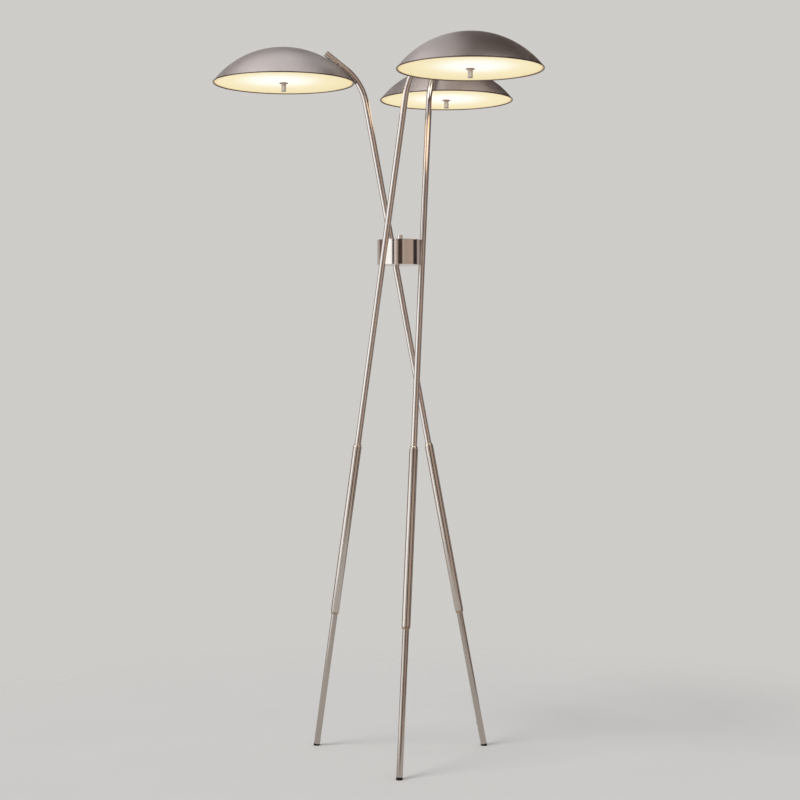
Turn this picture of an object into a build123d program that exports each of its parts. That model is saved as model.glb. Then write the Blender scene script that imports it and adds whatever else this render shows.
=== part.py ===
from build123d import *

import os
from math import asin, atan, cos, degrees, hypot, radians, sin, sqrt, tan

# Three-light floor lamp, in millimetres.
# The origin is on the floor on the lamp's upright middle axis, and +Z is up.
# Three straight tubes lean past a round hub, sunk half into its rim. Each runs from a foot on one side
# to a shade on the other. Foot 1 stands at -Y, and the other two follow every 120 degrees.

# Fits
running_gap = 0.05  # radial, where one piece turns or slides in another
seat_gap = 0.05  # between curved faces that bear on each other
groove_gap = 0.15  # radial, tube in the hub's groove

# Stance and tubes
arm_count = 3
stance_radius = 253.0  # from the lamp's axis to the middle of a foot
tube_radius = 8.0
arm_wall = 1.5
leg_wall = 2.5

# Feet
pad_length = 5.5  # shown, along the tube's middle line
pad_spigot_length = 15.0

# Sleeves over the joints of legs and arms
sleeve_radius = 11.0
sleeve_bottom_height = 352.5
sleeve_length = 437.5
ring_length = 6.0
ring_land = 1.5
ring_lip = 0.9  # how far the ring's small end stands proud of the tube
coupler_length = 80.0
coupler_bore_radius = 3.0

# Bends and ends of the arms
bend_height = 1662.0  # where the straight tube ends, up from the floor
bend_radius = 135.0
end_rise = 36.0  # slope of the end run, in degrees
end_length = 62.0
cap_thickness = 2.0
cap_spigot_length = 10.0
cap_chamfer = 0.5

# Domes
dome_radius = 178.0
dome_height = 88.0
dome_wall = 1.5
bead_radius = 1.5

# How an arm carries its dome
fixing_distance = 24.8  # from the end of the bend, along the end run
saddle_radius = 7.0
saddle_gap = 7.0  # between tube and dome
nipple_radius = 5.0
nipple_bore_radius = 3.0
nipple_inset = 0.3  # past the inside of the tube's wall
nipple_spare = 2.5  # thread left below the nut
nut_flats = 14.0
nut_thickness = 5.0

# Straps inside the domes
strap_width = 22.0
strap_thickness = 2.0
strap_back = 14.0  # from the nipple towards the rim
strap_forward = 11.0  # from the nipple to the bend
strap_end = 60.0  # past the dome's axis
strap_corner = 6.0

# Lampholders and bulbs
holder_radius = 11.0
holder_start = 18.0  # from the dome's axis
holder_length = 32.0
holder_bore_depth = 22.0
holder_foot_height = 3.0
holder_foot_width = 12.0
holder_foot_length = 20.0
holder_lip = 1.2
bulb_base_radius = 7.0
bulb_base_gap = 0.5
bulb_radius = 11.0
bulb_shoulder = 6.0
bulb_length = 55.0  # shown past the holder

# Centre bolts, diffusers, washers and finials
rod_radius = 3.0
rod_head_flats = 10.0
rod_head_thickness = 4.0
locknut_flats = 10.0
locknut_thickness = 5.0
diffuser_lift = 1.2  # above the plane of the rim
diffuser_thickness = 3.0
diffuser_rim_gap = 0.5
diffuser_edge = 0.5
diffuser_hole_gap = 0.3
washer_radius = 11.0
washer_thickness = 2.0
washer_chamfer = 0.5
finial_radius = 6.25
finial_height = 20.0
finial_chamfer = 0.8
finial_bore_depth = 15.0
finial_thread_end = 1.0  # bore left past the rod's end

# Hub
hub_radius = 58.0
hub_height = 63.5
hub_middle_height = 1280.0
hub_edge = 0.6
hub_top_thickness = 5.0
groove_wall = 4.0  # between groove and base plate
ledge_width = 7.0  # that the base plate screws down on
base_thickness = 3.0
base_gap = 0.2
base_screw_radius = 1.5
base_screw_head_radius = 2.75
base_screw_length = 10.0
clamp_screw_radius = 2.5
clamp_screw_reach = 2.0  # past the tube's wall
clamp_head_radius = 4.25
clamp_head_length = 5.0
clamp_socket_flats = 4.0
clamp_socket_depth = 2.5
spotface_depth = 0.8
spotface_gap = 0.35
wire_hole_drop = 12.0  # below the hub's middle
wire_hole_radius = 4.0

# Switch and terminal block
bushing_radius = 5.0
bushing_spare = 2.0
switch_width = 30.0
switch_depth = 20.0
switch_corner = 2.0
ring_nut_radius = 6.0
ring_nut_thickness = 1.6
shaft_radius = 3.0
shaft_depth = 9.0  # below the hub's top
knob_radius = 6.65
knob_top = 13.0  # above the hub's top
knob_cover = 2.0
knob_skirt_gap = 0.4
knob_bushing_gap = 0.5
knob_chamfer = 0.6
terminal_length = 40.0
terminal_width = 20.0
terminal_height = 10.0
terminal_ways = 4
terminal_hole_radius = 1.8
terminal_screw_radius = 2.2
terminal_screw_depth = 3.0

# Lead bush in the back of one leg, and the lamp wires
inlet_arm = 1
inlet_distance = 60.0  # from the floor, along the tube
inlet_hole_radius = 4.5
inlet_bore_radius = 3.0
inlet_flange_radius = 6.5
inlet_flange = 1.5  # proud of the tube
inlet_depth = 1.0  # past the inside of the tube's wall
wire_radius = 2.0
wire_terminal_radius = 8.0  # from the lamp's axis
wire_terminal_bend = 4.0
wire_end = 2.5  # past the end of the nipple

# Lean and heading that follow from the stance
arm_offset = hub_radius
foot_reach = sqrt(stance_radius**2 - arm_offset**2)
lean = degrees(atan(foot_reach / hub_middle_height))
heading = 90 - degrees(asin(arm_offset / stance_radius))
arm_bore_radius = tube_radius - arm_wall
leg_bore_radius = tube_radius - leg_wall
tube_clear_radius = tube_radius + running_gap
leg_distance = (sleeve_bottom_height / cos(radians(lean))) + ring_length + sleeve_length / 2

# Bend and end run, in the upright plane of an arm
bend_turn = 90 - lean - end_rise
bend_start = ((bend_height - hub_middle_height) * tan(radians(lean)), bend_height)
bend_end = (
    bend_start[0] + bend_radius * (cos(radians(lean)) - sin(radians(end_rise))),
    bend_start[1] + bend_radius * (cos(radians(end_rise)) - sin(radians(lean))),
)
arm_end = (
    bend_end[0] + end_length * cos(radians(end_rise)),
    bend_end[1] + end_length * sin(radians(end_rise)),
)
fixing_point = (
    bend_end[0] + fixing_distance * cos(radians(end_rise)),
    bend_end[1] + fixing_distance * sin(radians(end_rise)),
)

# Domes, set square to the end run at the fixing
sphere_radius = (dome_radius**2 + dome_height**2) / (2 * dome_height)
sphere_inner_radius = sphere_radius - dome_wall
sphere_distance = tube_radius + saddle_gap + sphere_radius
sphere_centre = (
    fixing_point[0] + sphere_distance * sin(radians(end_rise)),
    fixing_point[1] - sphere_distance * cos(radians(end_rise)),
)
rim_drop = sphere_radius - dome_height  # from the rim's plane down to the sphere's centre
rim_height = sphere_centre[1] + rim_drop
bead_offset = dome_radius - bead_radius
wall_middle_radius = sphere_radius - dome_wall / 2
bead_level = sqrt(wall_middle_radius**2 - bead_offset**2) - rim_drop
rim_angle = degrees(asin(bead_offset / wall_middle_radius))
dome_inside = tube_radius + saddle_gap + dome_wall  # along the fixing, from the tube's middle line

# Strap, bent from the slope of the fixing to level
strap_reach = hypot(max(strap_back, strap_forward), strap_width / 2)
strap_drop = sphere_inner_radius - sqrt(sphere_inner_radius**2 - strap_reach**2) + seat_gap
strap_middle = dome_inside + strap_drop + strap_thickness / 2
strap_from_centre = sphere_inner_radius - strap_drop - strap_thickness / 2
strap_seat = (
    -strap_from_centre * sin(radians(end_rise)),
    strap_from_centre * cos(radians(end_rise)) - rim_drop,
)
strap_level = strap_seat[1] + strap_forward * sin(radians(end_rise))
strap_underside = strap_level - strap_thickness / 2
nut_start = strap_middle + strap_thickness / 2
nipple_start = arm_bore_radius - nipple_inset
nipple_end = nut_start + nut_thickness + nipple_spare
wire_bend_radius = nipple_start - seat_gap
holder_level = strap_underside - holder_foot_height - holder_radius
holder_mouth = holder_start + holder_length

# Stack on the centre bolt, up from the rim's plane
diffuser_top = diffuser_lift + diffuser_thickness
diffuser_radius = sqrt(sphere_inner_radius**2 - (rim_drop + diffuser_top) ** 2) - diffuser_rim_gap
washer_bottom = diffuser_lift - washer_thickness
finial_top = washer_bottom - running_gap
rod_end = finial_top - finial_bore_depth + finial_thread_end
rod_hole_radius = rod_radius + running_gap

# Hub levels and radii
hub_top = hub_middle_height + hub_height / 2
hub_bottom = hub_middle_height - hub_height / 2
groove_radius = tube_radius + groove_gap
base_radius = arm_offset - groove_radius - groove_wall
cavity_radius = base_radius - ledge_width
drill_start = cavity_radius - ledge_width / 2  # just inside the cavity's wall
base_screw_circle = base_radius - ledge_width / 2
base_inside = hub_bottom + base_thickness
cavity_top = hub_top - hub_top_thickness
clamp_seat = cavity_radius + spotface_depth
wire_hole_height = hub_middle_height - wire_hole_drop
bushing_top = hub_top + ring_nut_thickness + bushing_spare
knob_bottom = hub_top + ring_nut_thickness + knob_skirt_gap
knob_top_height = hub_top + knob_top
knob_ceiling = bushing_top + knob_skirt_gap


def arm_plane(arm):
    """Upright plane that holds one tube: x runs outwards, y is up, z points away from the hub."""
    turn = heading + arm * 360 / arm_count
    along = Vector(1, 0, 0).rotate(Axis.Z, turn)
    away = Vector(0, -1, 0).rotate(Axis.Z, turn)
    return Plane(origin=away * arm_offset, x_dir=along, z_dir=away)


def tube_section(arm, distance):
    """Plane along the straight tube: y runs up the tube, from this far along it."""
    x = distance * sin(radians(lean)) - foot_reach
    y = distance * cos(radians(lean))
    return Plane(arm_plane(arm) * Location((x, y, 0), (0, 0, -lean)))


def end_section(arm, distance):
    """Plane along the end run: y runs out along the tube, x points into the dome."""
    x = bend_end[0] + distance * cos(radians(end_rise))
    y = bend_end[1] + distance * sin(radians(end_rise))
    return Plane(arm_plane(arm) * Location((x, y, 0), (0, 0, end_rise - 90)))


def across(section):
    """Plane square to the tube at a section's origin."""
    return Plane(origin=section.origin, x_dir=section.z_dir, z_dir=section.y_dir)


def fixing_plane(arm, depth):
    """Plane square to the nipple, this far from the tube's middle line into the dome."""
    section = end_section(arm, fixing_distance)
    return Plane(origin=section.origin + section.x_dir * depth, x_dir=section.z_dir, z_dir=section.x_dir)


def shade_section(arm):
    """Upright plane through a dome's axis: x runs outwards from the axis, y is up from the rim."""
    return Plane(arm_plane(arm) * Location((sphere_centre[0], rim_height, 0)))


def shade_level(arm, level):
    """Level plane on a dome's axis, this far above the rim."""
    section = shade_section(arm)
    return Plane(origin=section.origin + section.y_dir * level, x_dir=section.x_dir, z_dir=(0, 0, 1))


def hub_hole_plane(arm, height, radius):
    """Plane facing the tube from inside the hub, at a height and a distance from the lamp's axis."""
    flat = arm_plane(arm)
    x = (height - hub_middle_height) * tan(radians(lean))
    return Plane(flat * Location((x, height, radius - arm_offset), (0, 0, -lean)))


def distance_at(height):
    """Distance from the floor along the straight tube to a height."""
    return height / cos(radians(lean))


def keep(piece, name):
    """Label a finished piece and write it to its own file."""
    piece.part.label = name
    export_step(piece.part, f"parts/{name}.step")
    made.append(name)


def make_foot_pad(arm):
    """Plug in the end of the leg, cut flat by the floor."""
    section = tube_section(arm, 0)
    spigot_radius = leg_bore_radius - running_gap
    below = tube_radius
    with BuildPart() as foot_pad:
        with BuildSketch(section):
            with BuildLine():
                Polyline(
                    (0, -below),
                    (tube_radius, -below),
                    (tube_radius, pad_length),
                    (spigot_radius, pad_length),
                    (spigot_radius, pad_length + pad_spigot_length),
                    (0, pad_length + pad_spigot_length),
                    close=True,
                )
            make_face()
        revolve(axis=Axis(section.origin, section.y_dir))
        split(bisect_by=Plane.XY, keep=Keep.TOP)
    return foot_pad


def make_lower_leg(arm):
    """Straight tube from the foot to the joint inside the sleeve."""
    with BuildPart() as lower_leg:
        with BuildSketch(across(tube_section(arm, pad_length))):
            Circle(tube_radius)
            Circle(leg_bore_radius, mode=Mode.SUBTRACT)
        extrude(amount=leg_distance - pad_length)
        if arm == inlet_arm:
            with BuildSketch(tube_section(arm, inlet_distance)):
                Circle(inlet_hole_radius)
            extrude(amount=tube_radius + seat_gap, mode=Mode.SUBTRACT)
    return lower_leg


def make_sleeve(arm):
    """Thick tube that slides over the joint."""
    start = leg_distance - sleeve_length / 2
    with BuildPart() as sleeve:
        with BuildSketch(across(tube_section(arm, start))):
            Circle(sleeve_radius)
            Circle(tube_clear_radius, mode=Mode.SUBTRACT)
        extrude(amount=sleeve_length)
    return sleeve


def make_sleeve_rings():
    """Tapered rings that close the sleeves, one at each end."""
    lip_radius = tube_radius + ring_lip
    with BuildPart() as sleeve_rings:
        for arm in range(arm_count):
            for way in (-1, 1):
                section = tube_section(arm, leg_distance + way * sleeve_length / 2)
                with BuildSketch(section):
                    with BuildLine():
                        Polyline(
                            (tube_clear_radius, 0),
                            (sleeve_radius, 0),
                            (sleeve_radius, way * ring_land),
                            (lip_radius, way * ring_length),
                            (tube_clear_radius, way * ring_length),
                            close=True,
                        )
                    make_face()
                revolve(axis=Axis(section.origin, section.y_dir))
    return sleeve_rings


def make_leg_couplers():
    """Turned rods with a bore for the wires, half in the leg and half in the arm."""
    half = coupler_length / 2
    with BuildPart() as leg_couplers:
        for arm in range(arm_count):
            with BuildSketch(across(tube_section(arm, leg_distance - half))):
                Circle(leg_bore_radius - running_gap)
                Circle(coupler_bore_radius, mode=Mode.SUBTRACT)
            extrude(amount=half)
            with BuildSketch(across(tube_section(arm, leg_distance))):
                Circle(arm_bore_radius - running_gap)
                Circle(coupler_bore_radius, mode=Mode.SUBTRACT)
            extrude(amount=half)
    return leg_couplers


def make_arm_tube(arm):
    """Tube from the joint past the hub, over the bend and out along the dome."""
    start = tube_section(arm, leg_distance)
    with BuildPart() as arm_tube:
        with BuildLine(arm_plane(arm)):
            joint = (leg_distance * sin(radians(lean)) - foot_reach, leg_distance * cos(radians(lean)))
            straight = Line(joint, bend_start)
            JernArc(start=bend_start, tangent=straight % 1, radius=bend_radius, arc_size=-bend_turn)
            Line(bend_end, arm_end)
        with BuildSketch(across(start)):
            Circle(tube_radius)
            Circle(arm_bore_radius, mode=Mode.SUBTRACT)
        sweep()
        with BuildSketch(hub_hole_plane(arm, hub_middle_height, arm_offset - 2 * tube_radius)):
            Circle(clamp_screw_radius + running_gap)
        extrude(amount=2 * tube_radius, mode=Mode.SUBTRACT)
        with BuildSketch(hub_hole_plane(arm, wire_hole_height, arm_offset - 2 * tube_radius)):
            Circle(wire_hole_radius)
        extrude(amount=2 * tube_radius, mode=Mode.SUBTRACT)
        with BuildSketch(fixing_plane(arm, 0)):
            Circle(nipple_radius + running_gap)
        extrude(amount=2 * tube_radius, mode=Mode.SUBTRACT)
    return arm_tube


def make_end_cap(arm):
    """Square cap on the end of the arm, with a spigot up the tube."""
    section = end_section(arm, end_length)
    spigot_radius = arm_bore_radius - running_gap
    with BuildPart() as end_cap:
        with BuildSketch(section):
            with BuildLine():
                Polyline(
                    (0, -cap_spigot_length),
                    (spigot_radius, -cap_spigot_length),
                    (spigot_radius, 0),
                    (tube_radius, 0),
                    (tube_radius, cap_thickness - cap_chamfer),
                    (tube_radius - cap_chamfer, cap_thickness),
                    (0, cap_thickness),
                    close=True,
                )
            make_face()
        revolve(axis=Axis(section.origin, section.y_dir))
    return end_cap


def make_shade_saddle(arm):
    """Spacer shaped to the tube on one side and to the dome on the other."""
    section = shade_section(arm)
    centre = section.origin - section.y_dir * rim_drop
    with BuildPart() as shade_saddle:
        with BuildSketch(fixing_plane(arm, 0)):
            Circle(saddle_radius)
            Circle(nipple_radius + running_gap, mode=Mode.SUBTRACT)
        extrude(amount=dome_inside)
        with BuildSketch(across(end_section(arm, fixing_distance))):
            Circle(tube_radius + seat_gap)
        extrude(amount=2 * saddle_radius, both=True, mode=Mode.SUBTRACT)
        with Locations(centre):
            Sphere(sphere_radius + seat_gap, mode=Mode.SUBTRACT)
    return shade_saddle


def make_dome(arm):
    """Spun dome with a rolled bead round its rim."""
    section = shade_section(arm)
    with BuildPart() as dome:
        with BuildSketch(section):
            with BuildLine():
                outer = CenterArc((0, -rim_drop), sphere_radius, 90 - rim_angle, rim_angle)
                inner = CenterArc((0, -rim_drop), sphere_inner_radius, 90 - rim_angle, rim_angle)
                Line(outer @ 0, inner @ 0)
                Line(outer @ 1, inner @ 1)
            make_face()
            with Locations((bead_offset, bead_level)):
                Circle(bead_radius)
        revolve(axis=Axis(section.origin, section.y_dir))
        with BuildSketch(fixing_plane(arm, tube_radius)):
            Circle(nipple_radius + running_gap)
        extrude(amount=dome_inside, mode=Mode.SUBTRACT)
    return dome


def make_shade_nipples():
    """Hollow threaded rods that hold the domes to the arms."""
    with BuildPart() as shade_nipples:
        for arm in range(arm_count):
            with BuildSketch(fixing_plane(arm, nipple_start)):
                Circle(nipple_radius)
                Circle(nipple_bore_radius, mode=Mode.SUBTRACT)
            extrude(amount=nipple_end - nipple_start)
    return shade_nipples


def make_shade_nuts():
    """Hexagon nuts that clamp the straps and domes."""
    with BuildPart() as shade_nuts:
        for arm in range(arm_count):
            with BuildSketch(fixing_plane(arm, nut_start)):
                RegularPolygon(radius=nut_flats / 2, side_count=6, major_radius=False)
                Circle(nipple_radius + running_gap, mode=Mode.SUBTRACT)
            extrude(amount=nut_thickness)
    return shade_nuts


def make_strap(arm):
    """Flat strap from the nipple across the dome's axis."""
    section = shade_section(arm)
    rise = radians(end_rise)
    back = (strap_seat[0] - strap_back * cos(rise), strap_seat[1] - strap_back * sin(rise))
    fold = (strap_seat[0] + strap_forward * cos(rise), strap_level)
    with BuildPart() as strap:
        with BuildSketch(section):
            with BuildLine():
                middle = Polyline(back, fold, (strap_end, strap_level))
            trace(middle, line_width=strap_thickness)
        extrude(amount=strap_width / 2, both=True)
        far_corners = strap.edges().filter_by(Axis.Z).group_by(lambda e: e.center().dot(section.x_dir))[-1]
        fillet(far_corners, strap_corner)
        with BuildSketch(fixing_plane(arm, strap_middle - strap_thickness)):
            Circle(nipple_radius + running_gap)
        extrude(amount=2 * strap_thickness, mode=Mode.SUBTRACT)
        with BuildSketch(shade_level(arm, strap_level - strap_thickness)):
            Circle(rod_hole_radius)
        extrude(amount=2 * strap_thickness, mode=Mode.SUBTRACT)
    return strap


def make_lampholders(arm):
    """Pair of lampholders that face away from each other under the strap."""
    section = shade_section(arm)
    bore_radius = bulb_base_radius + running_gap
    bore_start = holder_mouth - holder_bore_depth
    with BuildPart() as lampholders:
        for way in (-1, 1):
            with BuildSketch(section):
                with BuildLine():
                    Polyline(
                        (way * holder_start, holder_level),
                        (way * holder_start, holder_level + holder_radius - holder_lip),
                        (way * (holder_mouth - holder_lip), holder_level + holder_radius - holder_lip),
                        (way * (holder_mouth - holder_lip), holder_level + holder_radius),
                        (way * holder_mouth, holder_level + holder_radius),
                        (way * holder_mouth, holder_level + bore_radius),
                        (way * bore_start, holder_level + bore_radius),
                        (way * bore_start, holder_level),
                        close=True,
                    )
                make_face()
            revolve(axis=Axis(section.origin + section.y_dir * holder_level, section.x_dir))
            foot_middle = holder_start + holder_foot_length / 2
            foot_bottom = holder_level + bore_radius + holder_lip
            with BuildSketch(section):
                with Locations((way * foot_middle, (foot_bottom + strap_underside) / 2)):
                    Rectangle(holder_foot_length, strap_underside - foot_bottom)
            extrude(amount=holder_foot_width / 2, both=True)
    return lampholders


def make_bulbs(arm):
    """Pair of tubular bulbs in their holders."""
    section = shade_section(arm)
    base_start = holder_mouth - holder_bore_depth + bulb_base_gap
    shoulder = holder_mouth + bulb_shoulder
    tip = holder_mouth + bulb_length
    with BuildPart() as bulbs:
        for way in (-1, 1):
            with BuildSketch(section):
                with BuildLine():
                    Polyline(
                        (way * tip, holder_level),
                        (way * base_start, holder_level),
                        (way * base_start, holder_level + bulb_base_radius),
                        (way * holder_mouth, holder_level + bulb_base_radius),
                        (way * shoulder, holder_level + bulb_radius),
                        (way * (tip - bulb_radius), holder_level + bulb_radius),
                    )
                    RadiusArc(
                        (way * (tip - bulb_radius), holder_level + bulb_radius),
                        (way * tip, holder_level),
                        way * bulb_radius,
                    )
                make_face()
            revolve(axis=Axis(section.origin + section.y_dir * holder_level, section.x_dir))
    return bulbs


def make_centre_rod(arm):
    """Long bolt that hangs from the strap and takes the finial."""
    with BuildPart() as centre_rod:
        with BuildSketch(shade_level(arm, strap_level + strap_thickness / 2)):
            RegularPolygon(radius=rod_head_flats / 2, side_count=6, major_radius=False)
        extrude(amount=rod_head_thickness)
        with BuildSketch(shade_level(arm, rod_end)):
            Circle(rod_radius)
        extrude(amount=strap_level + strap_thickness / 2 - rod_end)
    return centre_rod


def make_rod_locknuts():
    """Nuts that hold the centre bolts under the straps."""
    with BuildPart() as rod_locknuts:
        for arm in range(arm_count):
            with BuildSketch(shade_level(arm, strap_underside - locknut_thickness)):
                RegularPolygon(radius=locknut_flats / 2, side_count=6, major_radius=False)
                Circle(rod_hole_radius, mode=Mode.SUBTRACT)
            extrude(amount=locknut_thickness)
    return rod_locknuts


def make_diffuser(arm):
    """Flat frosted disc inside the rim."""
    with BuildPart() as diffuser:
        with BuildSketch(shade_level(arm, diffuser_lift)):
            Circle(diffuser_radius)
        extrude(amount=diffuser_thickness)
        chamfer(diffuser.edges(), diffuser_edge)
        with BuildSketch(shade_level(arm, diffuser_lift)):
            Circle(rod_radius + diffuser_hole_gap)
        extrude(amount=diffuser_thickness, mode=Mode.SUBTRACT)
    return diffuser


def make_washer(arm):
    """Washer that spreads the finial's load under the diffuser."""
    with BuildPart() as washer:
        with BuildSketch(shade_level(arm, washer_bottom)):
            Circle(washer_radius)
        extrude(amount=washer_thickness)
        chamfer(washer.faces().sort_by(Axis.Z)[0].edges(), washer_chamfer)
        with BuildSketch(shade_level(arm, washer_bottom)):
            Circle(rod_hole_radius)
        extrude(amount=washer_thickness, mode=Mode.SUBTRACT)
    return washer


def make_finial(arm):
    """Tall round nut, screwed up the centre bolt by hand."""
    with BuildPart() as finial:
        with BuildSketch(shade_level(arm, finial_top - finial_height)):
            Circle(finial_radius)
        extrude(amount=finial_height)
        chamfer(finial.faces().sort_by(Axis.Z)[0].edges(), finial_chamfer)
        with BuildSketch(shade_level(arm, finial_top - finial_bore_depth)):
            Circle(rod_hole_radius)
        extrude(amount=finial_bore_depth, mode=Mode.SUBTRACT)
    return finial


def base_screw_places():
    """Places of the base plate's screws, midway between the grooves."""
    start = heading - 90 + 180 / arm_count
    return PolarLocations(base_screw_circle, arm_count, start_angle=start)


def make_hub_drum():
    """Turned drum, hollow from below, with a groove for each tube across its rim."""
    groove_start = distance_at(hub_bottom) - 2 * tube_radius
    groove_length = distance_at(hub_height) + 4 * tube_radius
    head_cut_radius = clamp_head_radius + spotface_gap
    with BuildPart() as hub_drum:
        with BuildSketch(Plane.XZ):
            with BuildLine():
                Polyline(
                    (bushing_radius + running_gap, hub_top),
                    (hub_radius - hub_edge, hub_top),
                    (hub_radius, hub_top - hub_edge),
                    (hub_radius, hub_bottom + hub_edge),
                    (hub_radius - hub_edge, hub_bottom),
                    (base_radius + base_gap, hub_bottom),
                    (base_radius + base_gap, base_inside),
                    (cavity_radius, base_inside),
                    (cavity_radius, cavity_top),
                    (bushing_radius + running_gap, cavity_top),
                    close=True,
                )
            make_face()
        revolve(axis=Axis.Z)
        for arm in range(arm_count):
            with BuildSketch(across(tube_section(arm, groove_start))):
                Circle(groove_radius)
            extrude(amount=groove_length, mode=Mode.SUBTRACT)
            with BuildSketch(hub_hole_plane(arm, hub_middle_height, drill_start)):
                Circle(clamp_screw_radius + running_gap)
            extrude(amount=hub_radius, mode=Mode.SUBTRACT)
            with BuildSketch(hub_hole_plane(arm, hub_middle_height, clamp_seat - clamp_head_length)):
                Circle(head_cut_radius)
            extrude(amount=clamp_head_length, mode=Mode.SUBTRACT)
            with BuildSketch(hub_hole_plane(arm, wire_hole_height, drill_start)):
                Circle(wire_hole_radius)
            extrude(amount=hub_radius, mode=Mode.SUBTRACT)
        with BuildSketch(Plane.XY.offset(base_inside)):
            with base_screw_places():
                Circle(base_screw_radius + running_gap)
        extrude(amount=base_screw_length, mode=Mode.SUBTRACT)
    return hub_drum


def make_hub_base():
    """Plate that closes the hub from below."""
    cone_depth = base_screw_head_radius - base_screw_radius
    with BuildPart() as hub_base:
        with BuildSketch(Plane.XY.offset(hub_bottom)):
            Circle(base_radius)
        extrude(amount=base_thickness)
        with BuildSketch(Plane.XY.offset(hub_bottom)):
            with base_screw_places():
                Circle(base_screw_radius + running_gap)
        extrude(amount=base_thickness, mode=Mode.SUBTRACT)
        with BuildSketch(Plane.XY.offset(hub_bottom)):
            with base_screw_places():
                Circle(base_screw_head_radius + running_gap)
        extrude(amount=cone_depth, taper=45, mode=Mode.SUBTRACT)
    return hub_base


def make_hub_base_screws():
    """Countersunk screws, flush with the underside of the base plate."""
    cone_depth = base_screw_head_radius - base_screw_radius
    with BuildPart() as hub_base_screws:
        with BuildSketch(Plane.XY.offset(hub_bottom)):
            with base_screw_places():
                Circle(base_screw_head_radius)
        extrude(amount=cone_depth, taper=45)
        with BuildSketch(Plane.XY.offset(hub_bottom)):
            with base_screw_places():
                Circle(base_screw_radius)
        extrude(amount=base_screw_length)
    return hub_base_screws


def make_hub_clamp_screws():
    """Socket-head screws that pull each tube into its groove from inside the hub."""
    reach = arm_offset - arm_bore_radius - clamp_seat + clamp_screw_reach
    with BuildPart() as hub_clamp_screws:
        for arm in range(arm_count):
            with BuildSketch(hub_hole_plane(arm, hub_middle_height, clamp_seat - clamp_head_length)):
                Circle(clamp_head_radius)
            extrude(amount=clamp_head_length)
            with BuildSketch(hub_hole_plane(arm, hub_middle_height, clamp_seat)):
                Circle(clamp_screw_radius)
            extrude(amount=reach)
            with BuildSketch(hub_hole_plane(arm, hub_middle_height, clamp_seat - clamp_head_length)):
                RegularPolygon(radius=clamp_socket_flats / 2, side_count=6, major_radius=False)
            extrude(amount=clamp_socket_depth, mode=Mode.SUBTRACT)
    return hub_clamp_screws


def make_switch_body():
    """Rotary switch under the hub's top, with its threaded bushing."""
    with BuildPart() as switch_body:
        with BuildSketch(Plane.XY.offset(cavity_top - switch_depth)):
            RectangleRounded(switch_width, switch_width, switch_corner)
        extrude(amount=switch_depth)
        with BuildSketch(Plane.XY.offset(cavity_top)):
            Circle(bushing_radius)
        extrude(amount=bushing_top - cavity_top)
        with BuildSketch(Plane.XY.offset(hub_top - shaft_depth)):
            Circle(shaft_radius + running_gap)
        extrude(amount=bushing_top - hub_top + shaft_depth, mode=Mode.SUBTRACT)
    return switch_body


def make_switch_nut():
    """Ring nut that clamps the switch to the hub's top."""
    with BuildPart() as switch_nut:
        with BuildSketch(Plane.XY.offset(hub_top)):
            Circle(ring_nut_radius)
            Circle(bushing_radius + running_gap, mode=Mode.SUBTRACT)
        extrude(amount=ring_nut_thickness)
    return switch_nut


def make_switch_shaft():
    """Shaft of the switch, which turns with the knob."""
    start = hub_top - shaft_depth + seat_gap
    with BuildPart() as switch_shaft:
        with BuildSketch(Plane.XY.offset(start)):
            Circle(shaft_radius)
        extrude(amount=knob_top_height - knob_cover - start)
    return switch_shaft


def make_switch_knob():
    """Small round knob over the bushing and its nut."""
    with BuildPart() as switch_knob:
        with BuildSketch(Plane.XY.offset(knob_bottom)):
            Circle(knob_radius)
        extrude(amount=knob_top_height - knob_bottom)
        chamfer(switch_knob.faces().sort_by(Axis.Z)[-1].edges(), knob_chamfer)
        with BuildSketch(Plane.XY.offset(knob_bottom)):
            Circle(bushing_radius + knob_bushing_gap)
        extrude(amount=knob_ceiling - knob_bottom, mode=Mode.SUBTRACT)
        with BuildSketch(Plane.XY.offset(knob_ceiling)):
            Circle(shaft_radius)
        extrude(amount=knob_top_height - knob_cover - knob_ceiling, mode=Mode.SUBTRACT)
    return switch_knob


def make_terminal_block():
    """Terminal block on the base plate, with cross bores for the wires and screws from above."""
    spacing = terminal_length / terminal_ways
    with BuildPart() as terminal_block:
        with BuildSketch(Plane.XY.offset(base_inside)):
            Rectangle(terminal_length, terminal_width)
        extrude(amount=terminal_height)
        with BuildSketch(Plane.XZ.offset(-terminal_width / 2)):
            with Locations((0, base_inside + terminal_height / 2)):
                with GridLocations(spacing, 0, terminal_ways, 1):
                    Circle(terminal_hole_radius)
        extrude(amount=terminal_width, mode=Mode.SUBTRACT)
        with BuildSketch(Plane.XY.offset(base_inside + terminal_height - terminal_screw_depth)):
            with GridLocations(spacing, 0, terminal_ways, 1):
                Circle(terminal_screw_radius)
        extrude(amount=terminal_screw_depth, mode=Mode.SUBTRACT)
    return terminal_block


def make_cord_grommet():
    """Bush in the back of a leg, which the mains lead comes out of."""
    with BuildPart() as cord_grommet:
        with BuildSketch(tube_section(inlet_arm, inlet_distance)):
            Circle(inlet_flange_radius)
        extrude(amount=tube_radius + inlet_flange)
        with BuildSketch(across(tube_section(inlet_arm, inlet_distance))):
            Circle(tube_radius + seat_gap)
        extrude(amount=2 * inlet_flange_radius, both=True, mode=Mode.SUBTRACT)
        with BuildSketch(tube_section(inlet_arm, inlet_distance).offset(leg_bore_radius - inlet_depth)):
            Circle(inlet_hole_radius - running_gap)
        extrude(amount=leg_wall + inlet_depth + inlet_flange)
        with BuildSketch(tube_section(inlet_arm, inlet_distance)):
            Circle(inlet_bore_radius)
        extrude(amount=2 * tube_radius, mode=Mode.SUBTRACT)
    return cord_grommet


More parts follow.
